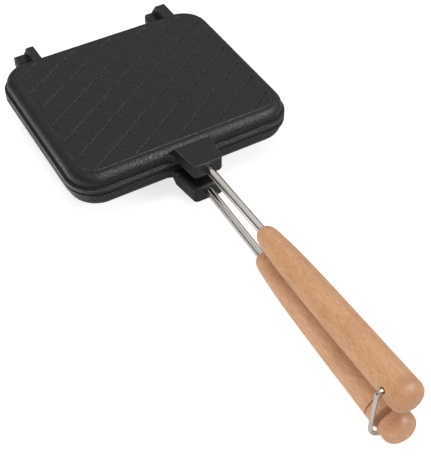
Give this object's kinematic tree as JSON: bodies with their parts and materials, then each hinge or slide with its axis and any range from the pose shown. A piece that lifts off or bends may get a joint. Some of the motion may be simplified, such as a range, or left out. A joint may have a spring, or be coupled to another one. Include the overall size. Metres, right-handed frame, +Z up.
{
  "type": "pie iron",
  "caption": "Hinged two-plate pie iron with groove-patterned cast plates, steel rods, turned wooden grips and a wire bail that holds the grips together.",
  "frame": {"origin": "centre of the lower plate's flat outer face, which rests on the hob", "axes": "+X to the right across the plates, +Y from the grips to the hinges, +Z up through the plates to the upper half"},
  "size_m": [0.155, 0.3729, 0.0507],
  "materials": {
    "coated_casting": "satin non-stick coating with a fine speckle on a cast plate",
    "polished_steel": "polished bare steel rods",
    "bail_wire": "drawn bright wire",
    "pin_steel": "riveted steel pins, blackened like the castings",
    "turned_wood": "turned pale hardwood with a thin clear lacquer"
  },
  "bodies": {
    "lower_half": {"lower_plate": "coated_casting", "lower_rod": "polished_steel", "lower_grip": "turned_wood", "left_hinge_pin": "pin_steel", "right_hinge_pin": "pin_steel"},
    "upper_half": {"upper_plate": "coated_casting", "upper_rod": "polished_steel", "upper_grip": "turned_wood"},
    "bail": {"bail": "bail_wire"}
  },
  "joints": [
    {"name": "plate_hinge", "type": "hinge", "parent": "lower_half", "child": "upper_half", "pos_m": [0, 0.079, 0.0127], "axis": [-1, 0, 0], "range_deg": [0, 180]},
    {"name": "bail_pivot", "type": "hinge", "parent": "upper_half", "child": "bail", "pos_m": [0, -0.27443, 0.02667], "axis": [-0.9781, 0, 0.2079], "range_deg": [0, 248]}
  ]
}
